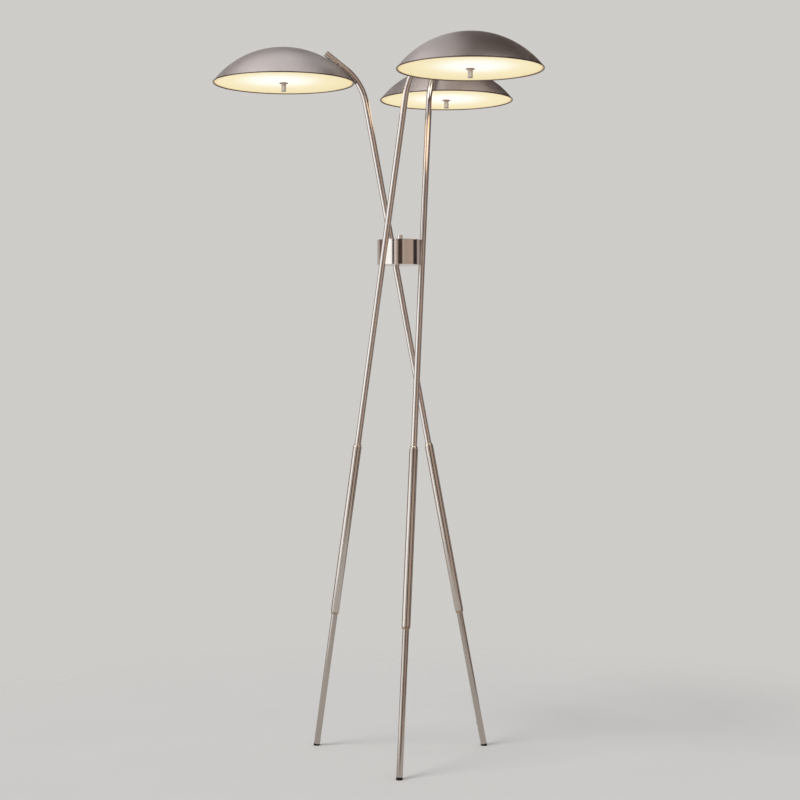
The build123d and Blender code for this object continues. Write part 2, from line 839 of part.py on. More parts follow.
def make_lamp_wires():
    """Wires from the terminal block through the tubes and nipples to the lampholders."""
    terminal_top = base_inside + terminal_height + seat_gap
    inside = wire_terminal_radius - arm_offset
    x = (wire_hole_height - hub_middle_height) * tan(radians(lean))
    depth = nipple_end + wire_end
    rise = radians(end_rise)
    nipple_point = (fixing_point[0] + depth * sin(rise), fixing_point[1] - depth * cos(rise))
    with BuildPart() as lamp_wires:
        for arm in range(arm_count):
            with BuildLine(arm_plane(arm)):
                rising = FilletPolyline(
                    (x, terminal_top, inside),
                    (x, wire_hole_height, inside),
                    (x, wire_hole_height, 0),
                    (bend_start[0], bend_start[1], 0),
                    radius=[wire_terminal_bend, wire_bend_radius],
                )
                JernArc(start=bend_start, tangent=rising % 1, radius=bend_radius, arc_size=-bend_turn)
                FilletPolyline(bend_end, fixing_point, nipple_point, radius=wire_bend_radius)
            with BuildSketch(Plane(origin=rising @ 0, z_dir=rising % 0)):
                Circle(wire_radius)
            sweep()
    return lamp_wires


os.makedirs("parts", exist_ok=True)
made = []

for arm in range(arm_count):
    number = arm + 1
    keep(make_foot_pad(arm), f"foot_pad_{number}")
    keep(make_lower_leg(arm), f"lower_leg_{number}")
    keep(make_sleeve(arm), f"sleeve_{number}")
    keep(make_arm_tube(arm), f"arm_tube_{number}")
    keep(make_end_cap(arm), f"end_cap_{number}")
    keep(make_shade_saddle(arm), f"shade_saddle_{number}")
    keep(make_dome(arm), f"dome_{number}")
    keep(make_strap(arm), f"strap_{number}")
    keep(make_lampholders(arm), f"lampholders_{number}")
    keep(make_bulbs(arm), f"bulbs_{number}")
    keep(make_centre_rod(arm), f"centre_rod_{number}")
    keep(make_diffuser(arm), f"diffuser_{number}")
    keep(make_washer(arm), f"washer_{number}")
    keep(make_finial(arm), f"finial_{number}")

keep(make_sleeve_rings(), "sleeve_rings")
keep(make_leg_couplers(), "leg_couplers")
keep(make_shade_nipples(), "shade_nipples")
keep(make_shade_nuts(), "shade_nuts")
keep(make_rod_locknuts(), "rod_locknuts")
keep(make_hub_drum(), "hub_drum")
keep(make_hub_base(), "hub_base")
keep(make_hub_base_screws(), "hub_base_screws")
keep(make_hub_clamp_screws(), "hub_clamp_screws")
keep(make_switch_body(), "switch_body")
keep(make_switch_nut(), "switch_nut")
keep(make_switch_shaft(), "switch_shaft")
keep(make_switch_knob(), "switch_knob")
keep(make_terminal_block(), "terminal_block")
keep(make_cord_grommet(), "cord_grommet")
keep(make_lamp_wires(), "lamp_wires")

print("pieces", len(made))
print("lean", round(lean, 3), "heading", round(heading, 3), "rim height", round(rim_height, 2))
print("arm end", arm_end, "dome axis", round(sphere_centre[0], 2), "strap level", round(strap_level, 2))
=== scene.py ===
import math

import bmesh
import bpy
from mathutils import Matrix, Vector


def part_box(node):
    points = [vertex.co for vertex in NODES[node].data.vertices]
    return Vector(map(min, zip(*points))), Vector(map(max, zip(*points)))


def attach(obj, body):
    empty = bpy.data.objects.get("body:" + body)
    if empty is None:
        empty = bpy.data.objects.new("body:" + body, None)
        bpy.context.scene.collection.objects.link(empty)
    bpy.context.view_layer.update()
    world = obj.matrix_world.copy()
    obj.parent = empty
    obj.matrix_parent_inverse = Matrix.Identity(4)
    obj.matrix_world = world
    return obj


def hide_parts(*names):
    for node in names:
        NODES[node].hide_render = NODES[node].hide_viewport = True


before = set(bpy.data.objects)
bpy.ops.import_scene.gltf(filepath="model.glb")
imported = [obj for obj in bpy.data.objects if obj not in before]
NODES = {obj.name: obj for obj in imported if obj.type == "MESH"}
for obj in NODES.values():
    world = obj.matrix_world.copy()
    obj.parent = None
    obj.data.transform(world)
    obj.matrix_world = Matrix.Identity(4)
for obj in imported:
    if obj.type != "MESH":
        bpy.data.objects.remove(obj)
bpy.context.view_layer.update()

ARMS = (1, 2, 3)
MM = 0.001
UP = Vector((0, 0, 1))

# Sizes and places that the pieces share with the frame, in millimetres

TUBE_RADIUS = 8.0
ARM_BORE = 6.5
LEG_BORE = 5.5
JOINT_GAP = 0.1             # left free on each side of the joint between lower leg and arm tube
CAP_THICKNESS = 2.0
CAP_PLUG = 10.0             # length of the end cap's plug in the tube, and its play there
CAP_PLAY = 0.05
PAD_LENGTH = 5.5
SLEEVE_RADIUS = 11.0
SLEEVE_BORE = 8.05
SLEEVE_BOTTOM = 352.5       # height above the floor
SLEEVE_LENGTH = 437.5
RING_LENGTH = 6.0
RING_BASE = 10.2
RING_TOP = 8.3
RING_LIP = 0.3
BEND_HEIGHT = 1662.0
BEND_RADIUS = 135.0
END_RISE = math.radians(36)
END_LENGTH = 62.0
DOME_RADIUS = 178.0
DOME_HEIGHT = 88.0
DOME_WALL = 1.5
BEAD_RADIUS = 1.5
DIFFUSER_BORE = 3.3
BOLT_BORE = 3.05            # hole in washer and finial
WASHER_RADIUS = 11.0
WASHER_THICKNESS = 2.0
FINIAL_TOP = -0.85          # from the rim's plane
FINIAL_LENGTH = 20.0
FINIAL_HOLE = 15.0
FINIAL_RADIUS = 6.25
COLLAR_TOP = 1.6            # plain collars over and under the knurled band
COLLAR_BOTTOM = 2.0
KNURL_DEPTH = 0.22
KNURL_COUNT = 72
KNURL_ROWS = 30
HUB_RADIUS = 58.0
HUB_MIDDLE = 1280.0
HUB_HEIGHT = 63.5
KNOB_RADIUS = 6.65
KNOB_BORE = 5.5
KNOB_BOTTOM = 2.0           # this and the next two are heights above the hub's top
KNOB_CEILING = 4.0
KNOB_TOP = 13.0
MARK_RADIUS = 0.8
MARK_THICKNESS = 0.08
MARK_SUNK = 0.03
MARK_REACH = 4.4            # from the knob's axis to the front
SCREW_CIRCLE = 42.35
SCREW_SHANK = 1.5
SCREW_LENGTH = 10.0
STANCE_RADIUS = 253.0
FOOT_REACH = math.sqrt(STANCE_RADIUS**2 - HUB_RADIUS**2)
LEAN = math.atan(FOOT_REACH / HUB_MIDDLE)
HEADING = math.pi / 2 - math.asin(HUB_RADIUS / STANCE_RADIUS)
JOINT = SLEEVE_BOTTOM / math.cos(LEAN) + RING_LENGTH + SLEEVE_LENGTH / 2
SPHERE = (DOME_RADIUS**2 + DOME_HEIGHT**2) / (2 * DOME_HEIGHT)
BEAD_CIRCLE = DOME_RADIUS - BEAD_RADIUS
WALL_MIDDLE = SPHERE - DOME_WALL / 2
BEAD_LEVEL = math.sqrt(WALL_MIDDLE**2 - BEAD_CIRCLE**2) - (SPHERE - DOME_HEIGHT)

# Sides of round pieces

TUBE_SIDES = 80
SHADE_SIDES = 224

# Tones of the plated metals. The sleeve and lower leg are the tube's nickel, painted darker as painted
# shade.

TUBE_TONE = (0.74, 0.68, 0.63)
SLEEVE_PAINTED_SHADE_TONE = (0.65, 0.59, 0.53)
LEG_PAINTED_SHADE_TONE = (0.53, 0.475, 0.425)


# Directions and places of an arm

def along(arm):
    """Level direction in which an arm leans."""
    turn = HEADING + (arm - 1) * math.tau / 3
    return Vector((math.cos(turn), math.sin(turn), 0))


def away(arm):
    """Level direction square to an arm, away from the lamp's middle."""
    level = along(arm)
    return Vector((level.y, -level.x, 0))


def in_plane(arm, outwards, height):
    """Point in an arm's upright plane, from millimetres."""
    return (away(arm) * HUB_RADIUS + along(arm) * outwards + Vector((0, 0, height))) * MM


def slope(arm, angle):
    """Direction in an arm's plane at an angle above level."""
    return along(arm) * math.cos(angle) + Vector((0, 0, math.sin(angle)))


def up_tube(arm):
    """Direction of the straight tube, from its foot up."""
    return slope(arm, math.pi / 2 - LEAN)


def on_tube(arm, distance):
    """Point on the straight tube's middle line, this far along it from the floor."""
    return in_plane(arm, distance * math.sin(LEAN) - FOOT_REACH, distance * math.cos(LEAN))


def shade_middle(arm):
    """Point on a dome's axis, in the plane of its rim."""
    low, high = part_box(f"dome_{arm}")
    return Vector(((low.x + high.x) / 2, (low.y + high.y) / 2, high.z - DOME_HEIGHT * MM))


def per_arm(name):
    """Names of a node that each arm has."""
    return [f"{name}_{arm}" for arm in ARMS]


# Mesh building

SHARP = math.radians(32)


def placed(name, form):
    """Object with the mesh of a bmesh, linked to the scene."""
    mesh = bpy.data.meshes.new(name)
    form.to_mesh(mesh)
    form.free()
    made = bpy.data.objects.new(name, mesh)
    bpy.context.scene.collection.objects.link(made)
    return made


def skin(name, loops, closed=False, diagonals=()):
    """Joins loops of points with faces and marks the sharp edges.

    A closed skin also joins its last loop to its first. The rows in diagonals get triangles whose
    diagonals change direction from one to the next, for a knurl.
    """
    form = bmesh.new()
    rows = [[form.verts.new(point) for point in loop] for loop in loops]
    following = rows[1:] + rows[:1] if closed else rows[1:]
    for number, (row, other) in enumerate(zip(rows, following)):
        count = max(len(row), len(other))
        for i in range(count):
            j = (i + 1) % count
            near = [row[i % len(row)], row[j % len(row)]]
            far = [other[j % len(other)], other[i % len(other)]]
            corners = list(dict.fromkeys(near + far))
            if number in diagonals:
                if (i + number) % 2:
                    corners = corners[1:] + corners[:1]
                form.faces.new(corners[:3])
                form.faces.new([corners[0], corners[2], corners[3]])
            elif len(corners) > 2:
                form.faces.new(corners)
    bmesh.ops.recalc_face_normals(form, faces=form.faces)
    for edge in form.edges:
        edge.smooth = edge.calc_face_angle(0) < SHARP
    for face in form.faces:
        face.smooth = True
    return placed(name, form)


def square_to(axis):
    """Two directions square to an axis and to each other."""
    side = axis.orthogonal().normalized()
    return side, axis.cross(side)


def ring(middle, side, other, radius, count):
    """Loop of points round a middle. The radius is in millimetres, or a function that gives it."""
    loop = []
    for i in range(count):
        angle = i * math.tau / count
        reach = (radius(i, angle) if callable(radius) else radius) * MM
        loop.append(middle + (side * math.cos(angle) + other * math.sin(angle)) * reach)
    return loop


def eased(profile, size, steps=3, closed=True):
    """Rounds the corners of a profile of (radius, height) points."""
    made = []
    count = len(profile)
    for i, point in enumerate(profile):
        here = Vector(point)
        if not closed and i in (0, count - 1):
            made.append(point)
            continue
        before = Vector(profile[i - 1]) - here
        after = Vector(profile[(i + 1) % count]) - here
        cut = min(size, before.length / 2.5, after.length / 2.5)
        start = here + before.normalized() * cut
        end = here + after.normalized() * cut
        for step in range(steps + 1):
            t = step / steps
            made.append(tuple(start * (1 - t) ** 2 + here * 2 * t * (1 - t) + end * t**2))
    return made


def lathe(name, profile, origin, axis, sides=96, closed=True):
    """Turns a profile of (radius, height) points, in millimetres, round an axis."""
    side, other = square_to(axis)
    loops = []
    for radius, height in profile:
        middle = origin + axis * height * MM
        loops.append([middle] if radius < 1e-6 else ring(middle, side, other, radius, sides))
    return skin(name, loops, closed)


def bent_tube(name, path, plane_normal, outer, inner):
    """Hollow tube along a path that lies in one plane, with its wall closed at both ends."""
    loops = []
    for radius, part in ((outer, path), (inner, path[::-1])):
        for point, direction in part:
            loops.append(ring(point, plane_normal, direction.cross(plane_normal), radius, TUBE_SIDES))
    return skin(name, loops, closed=True)


def finish(piece, material, body, slot, *nodes):
    """Gives a piece its material and body, and hides the nodes that it stands for. The slot is not used.
    """
    piece.data.materials.append(material)
    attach(piece, body)
    if nodes:
        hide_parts(*nodes)


def dress(material, *nodes):
    """Gives carried-over nodes a material."""
    for node in nodes:
        data = NODES[node].data
        data.materials.clear()
        data.materials.append(material)


def coat(piece, material, chosen):
    """Gives the faces whose middle is chosen a second material."""
    piece.data.materials.append(material)
    for face in piece.data.polygons:
        if chosen(face.center):
            face.material_index = 1


# Materials

class Tree:
    """The node tree of a material or a world, and short ways to wire it."""

    def __init__(self, owner):
        owner.use_nodes = True
        self.nodes = owner.node_tree.nodes
        self.links = owner.node_tree.links

    def node(self, kind, **settings):
        made = self.nodes.new(kind)
        for key, value in settings.items():
            setattr(made, key, value)
        return made

    def wire(self, source, target):
        self.links.new(source, target)

    def feed(self, value, target):
        """Wires an output to a socket, or sets the socket to a number or a colour."""
        if isinstance(value, bpy.types.NodeSocket):
            self.wire(value, target)
        elif isinstance(value, tuple):
            target.default_value = (*value, 1)
        else:
            target.default_value = value

    def calculated(self, operation, *values):
        made = self.node("ShaderNodeMath", operation=operation)
        for value, target in zip(values, made.inputs):
            self.feed(value, target)
        return made.outputs[0]

    def mixed(self, share, under, over, way="MIX"):
        """Mix of two colours. The share is that of the second one."""
        made = self.node("ShaderNodeMix", data_type="RGBA", blend_type=way)
        for key, value in (("Factor", share), ("A", under), ("B", over)):
            self.feed(value, made.inputs[key])
        return made.outputs["Result"]

    def mixed_shaders(self, share, under, over):
        """Mix of two shader nodes. The share is that of the second one."""
        made = self.node("ShaderNodeMixShader")
        for value, target in zip((share, under.outputs[0], over.outputs[0]), made.inputs):
            self.wire(value, target)
        return made

    def vector(self, operation, source, value):
        made = self.node("ShaderNodeVectorMath", operation=operation)
        self.wire(source, made.inputs[0])
        made.inputs[1].default_value = value
        return made

    def places(self, offset=(0, 0, 0)):
        """Places on the object in metres, from an offset."""
        coordinates = self.node("ShaderNodeTexCoord")
        return self.vector("SUBTRACT", coordinates.outputs["Object"], offset).outputs["Vector"]

    def stretched(self, source, factors):
        return self.vector("MULTIPLY", source, factors).outputs["Vector"]

    def along(self, source, direction):
        """Distance along a direction."""
        return self.vector("DOT_PRODUCT", source, direction).outputs["Value"]

    def length(self, source):
        made = self.node("ShaderNodeVectorMath", operation="LENGTH")
        self.wire(source, made.inputs[0])
        return made.outputs["Value"]

    def line(self, value):
        """A value as the X of a vector, for a pattern that changes one way only."""
        made = self.node("ShaderNodeCombineXYZ")
        self.wire(value, made.inputs["X"])
        return made.outputs["Vector"]

    def noise(self, places, scale, detail=3.0, roughness=0.55):
        made = self.node("ShaderNodeTexNoise")
        made.inputs["Scale"].default_value = scale
        made.inputs["Detail"].default_value = detail
        made.inputs["Roughness"].default_value = roughness
        self.wire(places, made.inputs["Vector"])
        return made.outputs["Fac"]

    def range(self, source, low, high, source_low=0.3, source_high=0.7):
        """Maps a value from one range to another, and keeps it between the ends."""
        made = self.node("ShaderNodeMapRange")
        for key, value in (
            ("From Min", source_low),
            ("From Max", source_high),
            ("To Min", low),
            ("To Max", high),
        ):
            made.inputs[key].default_value = value
        self.wire(source, made.inputs["Value"])
        return made.outputs["Result"]

    def ramp(self, source, *stops):
        """Colours by a value, from (value, colour) stops."""
        made = self.node("ShaderNodeValToRGB")
        elements = made.color_ramp.elements
        while len(elements) < len(stops):
            elements.new(0.5)
        for element, (place, colour) in zip(elements, stops):
            element.position = place
            element.color = (*colour, 1)
        self.wire(source, made.inputs["Fac"])
        return made.outputs["Color"]


class Shader(Tree):
    """A new material with one Principled shader."""

    def __init__(self, name):
        self.material = bpy.data.materials.new(name)
        super().__init__(self.material)
        self.principled = next(n for n in self.nodes if n.type == "BSDF_PRINCIPLED")

    def set(self, **values):
        """Wires or sets inputs of the Principled shader, by their names with underscores."""
        for key, value in values.items():
            self.feed(value, self.principled.inputs[key.replace("_", " ")])

    def bump(self, height, strength, distance):
        made = self.node("ShaderNodeBump")
        made.inputs["Strength"].default_value = strength
        made.inputs["Distance"].default_value = distance
        self.wire(height, made.inputs["Height"])
        self.wire(made.outputs["Normal"], self.principled.inputs["Normal"])


def metal(name, colour, roughness, pattern=None, wear=0.08, bump=0.004):
    """Plated metal: cloudy patches, fine marks, and a pattern of brushing or turning where it has one."""
    shader = Shader(name)
    places = shader.places()
    clouds = shader.noise(places, 11.0, detail=4)
    fine = pattern(shader) if pattern else shader.noise(places, 90.0, detail=3)
    dull = tuple(c * (1 - wear) for c in colour)
    marked = shader.range(fine, roughness * 0.75, roughness * 1.25)
    clouded = shader.range(clouds, 0.9, 1.15)
    shader.set(
        Base_Color=shader.ramp(clouds, (0.35, dull), (0.65, colour)),
        Roughness=shader.calculated("MULTIPLY", marked, clouded),
        Metallic=1.0,
    )
    shader.bump(fine, bump, 0.0001)
    return shader.material


def turned_across(direction, scale):
    """Pattern of fine turned lines square to a direction."""
    def pattern(shader):
        distance = shader.along(shader.places(), direction)
        return shader.noise(shader.line(distance), scale, detail=2)
    return pattern


def turned_round(centre, scale):
    """Pattern of fine turned rings round an upright axis."""
    def pattern(shader):
        flat = shader.stretched(shader.places(centre), (1, 1, 0))
        return shader.noise(shader.line(shader.length(flat)), scale, detail=5, roughness=0.7)
    return pattern


GLOW_RADIUS = 0.174         # metres, where the disc's glow ends
HOT_ALONG = 0.01            # how far the bright spot lies along the arm, and to the front
HOT_FRONT = 0.03


def frosted_lit(name, arm):
    """Frosted disc lit from behind: white near the bulbs, cream outwards, warm at the rim."""
    shader = Shader(name)
    flatten = (1 / GLOW_RADIUS, 1 / GLOW_RADIUS, 0)
    centre = shade_middle(arm)
    hot = centre + along(arm) * HOT_ALONG + Vector((0, -HOT_FRONT, 0))
    glow = shader.ramp(
        shader.length(shader.stretched(shader.places(hot), flatten)),
        (0.0, (0.97, 0.96, 0.92)),
        (0.32, (0.965, 0.94, 0.83)),
        (0.66, (0.85, 0.745, 0.45)),
        (1.0, (0.80, 0.68, 0.36)),
    )
    edge = shader.ramp(
        shader.length(shader.stretched(shader.places(centre), flatten)),
        (0.94, (1, 1, 1)),
        (1.0, (1.0, 0.82, 0.66)),
    )
    grain = shader.noise(shader.places(), 900.0, detail=2)
    shader.set(
        Base_Color=shader.ramp(grain, (0.3, (0.16, 0.155, 0.14)), (0.7, (0.20, 0.195, 0.18))),
        Roughness=shader.range(grain, 0.45, 0.6),
        Emission_Color=shader.mixed(1.0, glow, edge, "MULTIPLY"),
        Emission_Strength=0.92,
    )
    shader.bump(grain, 0.1, 0.0002)
    return shader.material


def moulded(name, colour, roughness):
    """Moulded plastic or rubber with a fine grain."""
    shader = Shader(name)
    grain = shader.noise(shader.places(), 700.0, detail=4)
    light = tuple(c * 1.08 + 0.004 for c in colour)
    shader.set(
        Base_Color=shader.ramp(grain, (0.3, colour), (0.7, light)),
        Roughness=shader.range(grain, roughness * 0.85, roughness * 1.15),
        Specular_IOR_Level=0.25,
    )
    shader.bump(grain, 0.15, 0.0002)
    return shader.material


# Pieces of the stand

def ring_profile():
    """Quarter-round profile of a sleeve ring, from the sleeve's end outwards."""
    profile = [(SLEEVE_BORE, 0), (RING_BASE - RING_LIP, 0)]
    steps = 12
    for step in range(steps + 1):
        turn = math.pi / 2 * step / steps
        reach = RING_TOP + (RING_BASE - RING_TOP) * math.cos(turn)
        profile.append((reach, RING_LIP + (RING_LENGTH - RING_LIP) * math.sin(turn)))
    profile.append((SLEEVE_BORE, RING_LENGTH))
    return profile


def make_leg(arm):
    """Lower leg, sleeve and its two rings."""
    up = up_tube(arm)
    brushed = turned_across(up, 1400.0)
    # The lower leg and sleeve are painted darker than the arm's nickel, as painted shade
    leg_metal = metal(f"leg_nickel_{arm}", LEG_PAINTED_SHADE_TONE, 0.13, brushed)
    sleeve_metal = metal(f"sleeve_nickel_painted_shade_{arm}", SLEEVE_PAINTED_SHADE_TONE, 0.13, brushed)
    # Both rings are the same nickel: the high ring is painted lighter, as painted highlight, and the low
    # ring darker, as painted shade
    high_ring_painted_highlight = metal(f"ring_nickel_{arm}", (0.92, 0.85, 0.74), 0.12)
    low_ring_painted_shade = metal(f"ring_nickel_painted_shade_{arm}", (0.46, 0.34, 0.23), 0.2)

    top = JOINT - JOINT_GAP
    leg = [(TUBE_RADIUS, PAD_LENGTH), (TUBE_RADIUS, top), (LEG_BORE, top), (LEG_BORE, PAD_LENGTH)]
    piece = lathe(f"leg_tube_{arm}", eased(leg, 0.25), on_tube(arm, 0), up, TUBE_SIDES)
    finish(piece, leg_metal, "stand", "leg_nickel", f"lower_leg_{arm}")

    start = JOINT - SLEEVE_LENGTH / 2
    end = start + SLEEVE_LENGTH
    sleeve = [(SLEEVE_RADIUS, start), (SLEEVE_RADIUS, end), (SLEEVE_BORE, end), (SLEEVE_BORE, start)]
    piece = lathe(f"leg_sleeve_{arm}", eased(sleeve, 0.15), on_tube(arm, 0), up)
    finish(piece, sleeve_metal, "stand", "leg_nickel", f"sleeve_{arm}")

    for name, way, place, ring_metal in (("low", -1, start, low_ring_painted_shade), ("high", 1, end, high_ring_painted_highlight)):
        piece = lathe(f"sleeve_ring_{name}_{arm}", ring_profile(), on_tube(arm, place), up * way)
        finish(piece, ring_metal, "stand", "ring_nickel", "sleeve_rings")


def arm_path(arm):
    """Points and directions on an arm tube's middle line: the straight run, the bend and the end run."""
    up = up_tube(arm)
    path = [(on_tube(arm, JOINT + JOINT_GAP), up)]
    for share in (0.25, 0.5, 0.75):
        path.append((on_tube(arm, JOINT + share * (BEND_HEIGHT / math.cos(LEAN) - JOINT)), up))
    bend_start = BEND_HEIGHT * math.tan(LEAN) - FOOT_REACH
    centre_outwards = bend_start + BEND_RADIUS * math.cos(LEAN)
    centre_height = BEND_HEIGHT - BEND_RADIUS * math.sin(LEAN)
    steps = 48
    for step in range(steps + 1):
        angle = math.pi / 2 - LEAN - (math.pi / 2 - LEAN - END_RISE) * step / steps
        outwards = centre_outwards - BEND_RADIUS * math.sin(angle)
        height = centre_height + BEND_RADIUS * math.cos(angle)
        path.append((in_plane(arm, outwards, height), slope(arm, angle)))
    bend_end, run = path[-1]
    path.append((bend_end + run * END_LENGTH * MM, run))
    return path


def make_arm(arm):
    """Bent arm tube and its end cap, and the saddle's dark tone, which is painted shade in the gap under
    the tube.
    """
    nickel = metal(f"tube_nickel_{arm}", TUBE_TONE, 0.11)
    path = arm_path(arm)
    piece = bent_tube(f"arm_{arm}", path, away(arm), TUBE_RADIUS, ARM_BORE)
    finish(piece, nickel, "stand", "tube_nickel", f"arm_tube_{arm}")

    end, run = path[-1]
    plug = ARM_BORE - CAP_PLAY
    profile = [
        (0, -CAP_PLUG),
        (plug, -CAP_PLUG),
        (plug, 0),
        (TUBE_RADIUS, 0),
        (TUBE_RADIUS, CAP_THICKNESS),
        (0, CAP_THICKNESS),
    ]
    rounded = eased(profile, 0.5, closed=False)
    piece = lathe(f"arm_cap_{arm}", rounded, end, run, TUBE_SIDES, closed=False)
    finish(piece, nickel, "stand", "tube_nickel", f"end_cap_{arm}")
    # The saddle is painted dark, as painted shade in the gap between tube and dome
    dress(metal(f"saddle_nickel_painted_shade_{arm}", (0.26, 0.22, 0.20), 0.4), f"shade_saddle_{arm}")


# Pieces of the shades

def dome_profile():
    """Outside, rolled bead and inside of a dome, from its top to its top, above the rim's plane."""
    drop = SPHERE - DOME_HEIGHT
    angle = math.asin(BEAD_CIRCLE / WALL_MIDDLE)
    inwards = Vector((-math.cos(angle), math.sin(angle)))
    outwards = Vector((math.sin(angle), math.cos(angle)))
    reach = angle - BEAD_RADIUS * math.cos(math.radians(30)) / WALL_MIDDLE
    profile = []
    steps = 44
    for step in range(steps + 1):
        turn = reach * step / steps
        profile.append((SPHERE * math.sin(turn), SPHERE * math.cos(turn) - drop))
    for degrees in range(45, 330, 15):
        turn = math.radians(degrees)
        offset = (inwards * math.cos(turn) + outwards * math.sin(turn)) * BEAD_RADIUS
        profile.append(tuple(Vector((BEAD_CIRCLE, BEAD_LEVEL)) + offset))
    inside = SPHERE - DOME_WALL
    for step in range(steps, -1, -2):
        turn = reach * step / steps
        profile.append((inside * math.sin(turn), inside * math.cos(turn) - drop))
    return profile


def finial_loops(origin):
    """Loops of a round nut with a knurled band between plain collars, and the rows that are knurled."""
    side, other = square_to(UP)
    bottom = FINIAL_TOP - FINIAL_LENGTH
    hole_end = FINIAL_TOP - FINIAL_HOLE
    band_top = FINIAL_TOP - COLLAR_TOP
    band_bottom = bottom + COLLAR_BOTTOM
    groove = FINIAL_RADIUS - KNURL_DEPTH - 0.05
    loops = [[origin + UP * hole_end * MM]]

    def add(reach, level):
        loops.append(ring(origin + UP * level * MM, side, other, reach, KNURL_COUNT))

    for reach, level in (
        (BOLT_BORE, hole_end),
        (BOLT_BORE, FINIAL_TOP),
        (FINIAL_RADIUS - 0.3, FINIAL_TOP),
        (FINIAL_RADIUS, FINIAL_TOP - 0.3),
        (FINIAL_RADIUS, band_top + 0.45),
        (groove, band_top + 0.2),
    ):
        add(reach, level)
    first = len(loops)

    def knurled(i, angle):
        """Peaks and grooves by turns, along a row and from row to row."""
        return FINIAL_RADIUS - KNURL_DEPTH * ((i + len(loops)) % 2)

    for row in range(KNURL_ROWS + 1):
        add(knurled, band_top + (band_bottom - band_top) * row / KNURL_ROWS)
    last = len(loops) - 1
    for reach, level in (
        (groove, band_bottom - 0.2),
        (FINIAL_RADIUS, band_bottom - 0.45),
        (FINIAL_RADIUS, bottom + 0.8),
        (FINIAL_RADIUS - 0.15, bottom + 0.45),
        (FINIAL_RADIUS - 0.45, bottom + 0.15),
        (FINIAL_RADIUS - 0.8, bottom),
    ):
        add(reach, level)
    loops.append([origin + UP * bottom * MM])
    return loops, range(first, last)


def make_shade(arm):
    """Dome, diffuser, washer and finial."""
    centre = shade_middle(arm)
    turned = turned_round(centre, 1100.0)
    satin = metal(f"dome_nickel_{arm}", (0.60, 0.56, 0.555), 0.40, turned, wear=0.06, bump=0.05)
    piece = lathe(f"shade_{arm}", dome_profile(), centre, UP, SHADE_SIDES, closed=False)
    finish(piece, satin, "stand", "dome_nickel", f"dome_{arm}")

    def on_bead(point):
        place = point - centre
        reach = Vector((place.x, place.y)).length / MM
        return math.hypot(reach - BEAD_CIRCLE, place.z / MM - BEAD_LEVEL) < BEAD_RADIUS * 1.02

    # The rolled bead is the dome's nickel, painted dark as painted shade
    coat(piece, metal(f"rim_nickel_painted_shade_{arm}", (0.18, 0.13, 0.11), 0.28), on_bead)

    low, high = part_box(f"diffuser_{arm}")
    outer = (high.x - low.x) / 2 / MM
    bottom = (low.z - centre.z) / MM
    top = (high.z - centre.z) / MM
    profile = [(DIFFUSER_BORE, bottom), (outer, bottom), (outer, top), (DIFFUSER_BORE, top)]
    piece = lathe(f"diffuser_disc_{arm}", eased(profile, 0.5), centre, UP, SHADE_SIDES)
    frosted = frosted_lit(f"frosted_diffuser_{arm}", arm)
    finish(piece, frosted, "stand", "frosted_diffuser", f"diffuser_{arm}")

    under = bottom - WASHER_THICKNESS
    profile = [(BOLT_BORE, bottom), (WASHER_RADIUS, bottom), (WASHER_RADIUS, under), (BOLT_BORE, under)]
    # The washer's dark tone is partly its bronze and partly painted shade, standing for a dark reflection
    bronze_and_painted_shade = metal(f"bronze_trim_{arm}", (0.32, 0.20, 0.14), 0.26, turned_round(centre, 1500.0))
    piece = lathe(f"shade_washer_{arm}", eased(profile, 0.5), centre, UP, 72)
    finish(piece, bronze_and_painted_shade, "stand", "bronze_trim", f"washer_{arm}")

    loops, knurled_rows = finial_loops(centre)
    piece = skin(f"shade_knob_{arm}", loops, diagonals=knurled_rows)
    nickel = metal(f"finial_nickel_{arm}", (0.49, 0.485, 0.44), 0.22)
    finish(piece, nickel, f"finial_{arm}", "finial_nickel", f"finial_{arm}")


# Pieces of the hub, and the looks of the nodes that the frame keeps

def make_knob(polished_painted_highlight):
    """Switch knob with a round index mark on its top."""
    origin = Vector((0, 0, (HUB_MIDDLE + HUB_HEIGHT / 2) * MM))
    profile = [
        (0, KNOB_CEILING),
        (KNOB_BORE, KNOB_CEILING),
        (KNOB_BORE, KNOB_BOTTOM),
        (KNOB_RADIUS, KNOB_BOTTOM),
        (KNOB_RADIUS, KNOB_TOP),
        (0, KNOB_TOP),
    ]
    piece = lathe("knob_cap", eased(profile, 0.6, 4, closed=False), origin, UP, closed=False)
    finish(piece, polished_painted_highlight, "knob", "finial_nickel", "switch_knob")

    mark = [(0, 0), (MARK_RADIUS, 0), (MARK_RADIUS, MARK_THICKNESS), (0, MARK_THICKNESS)]
    place = origin + Vector((0, -MARK_REACH, KNOB_TOP - MARK_SUNK)) * MM
    piece = lathe("knob_mark", mark, place, UP, 24, closed=False)
    finish(piece, moulded("mark_paint", (0.03, 0.03, 0.03), 0.5), "knob", "foot_plastic")


def recess(i, angle):
    """Reach of a screw's hexagon recess, 1.9 mm across its flats."""
    return 0.95 / math.cos((angle + math.pi / 6) % (math.pi / 3) - math.pi / 6)


def recess_edge(i, angle):
    return recess(i, angle) + 0.08


def make_base_screws(steel):
    """Countersunk screws that hold the base plate, with their heads down."""
    bottom = HUB_MIDDLE - HUB_HEIGHT / 2
    side, other = square_to(UP)
    for number in ARMS:
        turn = HEADING - math.pi / 2 + math.pi / 3 + (number - 1) * math.tau / 3
        head = Vector((math.cos(turn) * SCREW_CIRCLE, math.sin(turn) * SCREW_CIRCLE, bottom)) * MM
        loops = [[head + UP * MM]]
        for reach, level in (
            (recess, 0.9),
            (recess, 0.05),
            (recess_edge, 0.0),
            (2.6, 0.0),
            (2.75, 0.12),
            (SCREW_SHANK, 1.3),
            (SCREW_SHANK, SCREW_LENGTH),
        ):
            loops.append(ring(head + UP * level * MM, side, other, reach, 48))
        loops.append([head + UP * SCREW_LENGTH * MM])
        piece = skin(f"base_screw_{number}", loops)
        finish(piece, steel, "stand", "zinc_steel", "hub_base_screws")


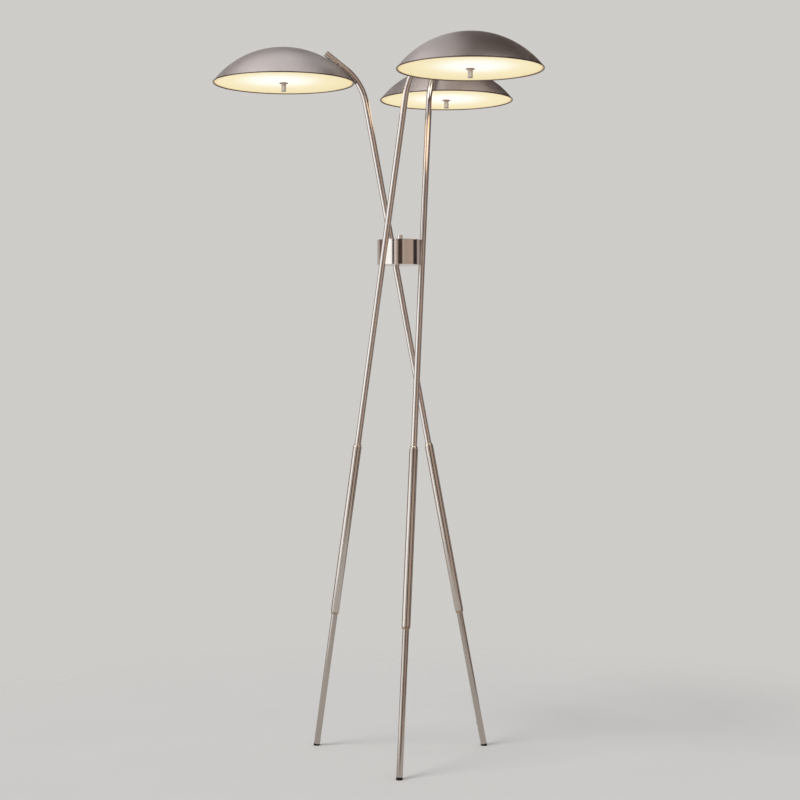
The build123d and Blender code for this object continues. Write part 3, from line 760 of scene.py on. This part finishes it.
def make_hub():
    """Knob and base screws, and materials for the nodes whose CAD shapes stay."""
    # The knob and its nut are painted much lighter than the finials' nickel, as painted highlight
    polished_painted_highlight = metal("knob_nickel_painted_highlight", (0.90, 0.86, 0.82), 0.12)
    make_knob(polished_painted_highlight)
    dress(polished_painted_highlight, "switch_nut")

    dress(metal("hub_nickel", TUBE_TONE, 0.12, turned_across(UP, 2200.0), bump=0.04), "hub_drum")
    dress(metal("hub_base_nickel", TUBE_TONE, 0.2, turned_round(Vector((0, 0, 0)), 1800.0)), "hub_base")

    steel = metal("zinc_steel", (0.60, 0.60, 0.60), 0.3)
    make_base_screws(steel)
    dress(steel, "hub_clamp_screws", "leg_couplers", "shade_nipples", "shade_nuts", "rod_locknuts")
    dress(steel, "switch_shaft", *per_arm("strap"), *per_arm("centre_rod"))

    holder = moulded("holder_plastic", (0.72, 0.71, 0.68), 0.5)
    dress(holder, "switch_body", "terminal_block", *per_arm("lampholders"))
    dress(moulded("bulb_plastic", (0.88, 0.85, 0.76), 0.4), *per_arm("bulbs"))
    dress(moulded("wire_silicone", (0.7, 0.69, 0.66), 0.6), "lamp_wires")
    dress(moulded("foot_plastic", (0.008, 0.007, 0.006), 0.6), "cord_grommet", *per_arm("foot_pad"))


# Camera, placed as the photographer's stood

CAMERA_PLACE = Vector((0.0295, -4.4444, 1.0065))
CAMERA_TILT = math.radians(-1.28)
CAMERA_TURN = math.radians(0.38)
LENS = 78.9
SENSOR = 36.0


def make_camera():
    """Camera that looks level but for its small tilt, towards +Y."""
    data = bpy.data.cameras.new("camera")
    data.lens = LENS
    data.sensor_width = SENSOR
    camera = bpy.data.objects.new("camera", data)
    camera.location = CAMERA_PLACE
    camera.rotation_euler = (math.pi / 2 + CAMERA_TILT, 0, CAMERA_TURN)
    bpy.context.scene.collection.objects.link(camera)
    bpy.context.scene.camera = camera


# Studio

FLOOR_TONE = (0.64, 0.62, 0.60)
BACKDROP_TONE = (0.62, 0.605, 0.585)
FLOOR_RADIUS = 2.0
FADE_START = 0.75
FADE_END = 1.9


def make_floor():
    """Pale round floor that fades into the pale surroundings."""
    form = bmesh.new()
    bmesh.ops.create_circle(form, cap_ends=True, segments=128, radius=FLOOR_RADIUS)
    floor = placed("floor", form)
    shader = Shader("floor")
    grain = shader.noise(shader.places(), 3.0)
    light = tuple(c * 1.03 for c in FLOOR_TONE)
    shader.set(Base_Color=shader.ramp(grain, (0.3, FLOOR_TONE), (0.7, light)), Roughness=0.85)
    fade = shader.range(shader.length(shader.places()), 0.0, 1.0, FADE_START, FADE_END)
    clear = shader.node("ShaderNodeBsdfTransparent")
    faded = shader.mixed_shaders(fade, shader.principled, clear)
    output = next(n for n in shader.nodes if n.type == "OUTPUT_MATERIAL")
    shader.wire(faded.outputs[0], output.inputs["Surface"])
    floor.data.materials.append(shader.material)


# The studio that gloss shows. Its upright panels go by bearing in degrees: 0 is behind the camera, and
# minus is to the camera's left. Colours between two bearings blend.

PANELS = (
    (-180, (0.27, 0.25, 0.235)),
    (-150, (0.48, 0.45, 0.42)),
    (-126, (0.48, 0.45, 0.42)),
    (-121, (0.20, 0.125, 0.12)),
    (-102, (0.20, 0.125, 0.12)),
    (-97, (1.32, 1.36, 1.40)),
    (-42, (1.32, 1.36, 1.40)),
    (-38, (0.05, 0.04, 0.035)),
    (-30, (0.05, 0.04, 0.035)),
    (-26, (1.10, 1.00, 1.00)),
    (-17, (0.50, 0.43, 0.40)),
    (-12, (0.50, 0.43, 0.40)),
    (-8, (0.06, 0.04, 0.03)),
    (11, (0.06, 0.04, 0.03)),
    (15, (0.64, 0.53, 0.46)),
    (24, (0.46, 0.38, 0.32)),
    (68, (0.56, 0.43, 0.37)),
    (73, (0.045, 0.035, 0.035)),
    (94, (0.045, 0.035, 0.035)),
    (99, (0.56, 0.49, 0.47)),
    (112, (0.42, 0.36, 0.35)),
    (126, (0.12, 0.09, 0.08)),
    (140, (0.08, 0.055, 0.05)),
    (166, (0.08, 0.055, 0.05)),
    (180, (0.27, 0.25, 0.235)),
)
OVERHEAD_LEFT = (0.17, 0.135, 0.125)
OVERHEAD_RIGHT = (0.055, 0.036, 0.03)
FRONT_TOP = (2.5, 2.35, 2.1)
SKY_TONE = (0.95, 0.97, 1.0)
SKY_STRENGTH = 0.6
SOFTBOX_LEVEL = 2.2


def gloss_colour(world):
    """Colour of the studio in each direction, which the world's generated coordinates give."""
    parts = world.node("ShaderNodeSeparateXYZ")
    world.wire(world.node("ShaderNodeTexCoord").outputs["Generated"], parts.inputs[0])
    x, y, z = parts.outputs
    bearing = world.calculated("ARCTAN2", x, world.calculated("MULTIPLY", y, -1.0))
    side = world.calculated("ABSOLUTE", bearing)
    share = world.calculated("ADD", world.calculated("DIVIDE", bearing, math.tau), 0.5)
    panels = world.ramp(share, *((degrees / 360 + 0.5, colour) for degrees, colour in PANELS))

    def between(value, low, high):
        return world.range(value, 0.0, 1.0, low, high)

    def turned_between(value, low, high):
        return between(value, math.radians(low), math.radians(high))

    def product(first, second):
        return world.calculated("MULTIPLY", first, second)

    # Behind the lamp and low down is the pale backdrop
    behind = turned_between(side, 140, 158)
    walls = world.mixed(product(behind, between(z, 0.16, 0.05)), panels, BACKDROP_TONE)
    # On the right the panels darken upwards
    right = product(turned_between(bearing, 80, 100), between(z, 0.13, 0.33))
    walls = world.mixed(product(right, 0.85), walls, OVERHEAD_RIGHT)
    # Above them is a dark ceiling, a little lighter on the left
    ceiling = world.mixed(between(x, -0.3, 0.25), OVERHEAD_LEFT, OVERHEAD_RIGHT)
    room = world.mixed(between(z, 0.34, 0.62), walls, ceiling)
    # High in front on both sides is a bright strip, for the rings and bevels
    wide = product(turned_between(side, 25, 30), turned_between(side, 78, 73))
    high = product(between(z, 0.62, 0.70), between(z, 0.93, 0.88))
    return world.mixed(product(wide, high), room, FRONT_TOP)


def make_world():
    """Plain sky for diffuse surfaces, the studio for gloss and glass, a pale backdrop for the camera."""
    data = bpy.data.worlds.new("studio")
    bpy.context.scene.world = data
    world = Tree(data)
    sky = world.nodes["Background"]
    world.feed(SKY_TONE, sky.inputs["Color"])
    world.feed(SKY_STRENGTH, sky.inputs["Strength"])
    studio = world.node("ShaderNodeBackground")
    world.feed(gloss_colour(world), studio.inputs["Color"])
    backdrop = world.node("ShaderNodeBackground")
    world.feed(BACKDROP_TONE, backdrop.inputs["Color"])
    rays = world.node("ShaderNodeLightPath").outputs
    gloss = world.calculated("MAXIMUM", rays["Is Glossy Ray"], rays["Is Transmission Ray"])
    lit = world.mixed_shaders(gloss, sky, studio)
    shown = world.mixed_shaders(rays["Is Camera Ray"], lit, backdrop)
    world.wire(shown.outputs[0], world.nodes["World Output"].inputs["Surface"])


def add_light(name, kind):
    """New light that the camera doesn't see."""
    light = bpy.data.objects.new(name, bpy.data.lights.new(name, kind))
    light.visible_camera = False
    bpy.context.scene.collection.objects.link(light)
    return light


def make_sun(name, place, strength, spread):
    """Sun that shines from a place to the origin, this many degrees wide, and doesn't show in gloss."""
    light = add_light(name, "SUN")
    light.data.energy = strength
    light.data.angle = math.radians(spread)
    light.rotation_euler = (-Vector(place)).to_track_quat("-Z", "Y").to_euler()
    light.visible_glossy = False


def make_softbox(name, place, size, radiance, colour=(1, 1, 1), shape="RECTANGLE"):
    """Flat light that faces down, this bright to look at. A disc shows in gloss only."""
    light = add_light(name, "AREA")
    light.data.shape = shape
    light.data.size, light.data.size_y = size
    area = size[0] * size[1] * (math.pi / 4 if shape == "DISK" else 1)
    light.data.energy = radiance * math.pi * area
    light.data.color = colour
    light.location = place
    light.visible_diffuse = shape == "RECTANGLE"


def make_lights():
    """One soft sun, boxes over the lamp, and a warm disc under each diffuser for its glow in gloss."""
    make_sun("key", (-1.0, -0.7, 1.6), 1.4, 25)
    make_softbox("overhead", (-0.55, -0.15, SOFTBOX_LEVEL), (0.8, 0.68), 0.76)
    make_softbox("overhead_middle", (-0.03, 0.03, SOFTBOX_LEVEL), (0.24, 0.96), 0.40)
    make_softbox("overhead_back", (-0.55, 0.7, SOFTBOX_LEVEL), (0.8, 0.9), 0.10)
    make_softbox("card", (0.20, 0.17, 1.95), (0.56, 0.26), 0.30, (1.0, 0.84, 0.70))
    for arm in ARMS:
        place = shade_middle(arm) - UP * MM
        make_softbox(f"glow_{arm}", place, (0.34, 0.34), 0.75, (1.0, 0.64, 0.54), "DISK")


make_camera()
make_world()
make_floor()
make_lights()
for arm in ARMS:
    make_leg(arm)
    make_arm(arm)
    make_shade(arm)
make_hub()
bpy.context.scene.view_settings.view_transform = "Standard"
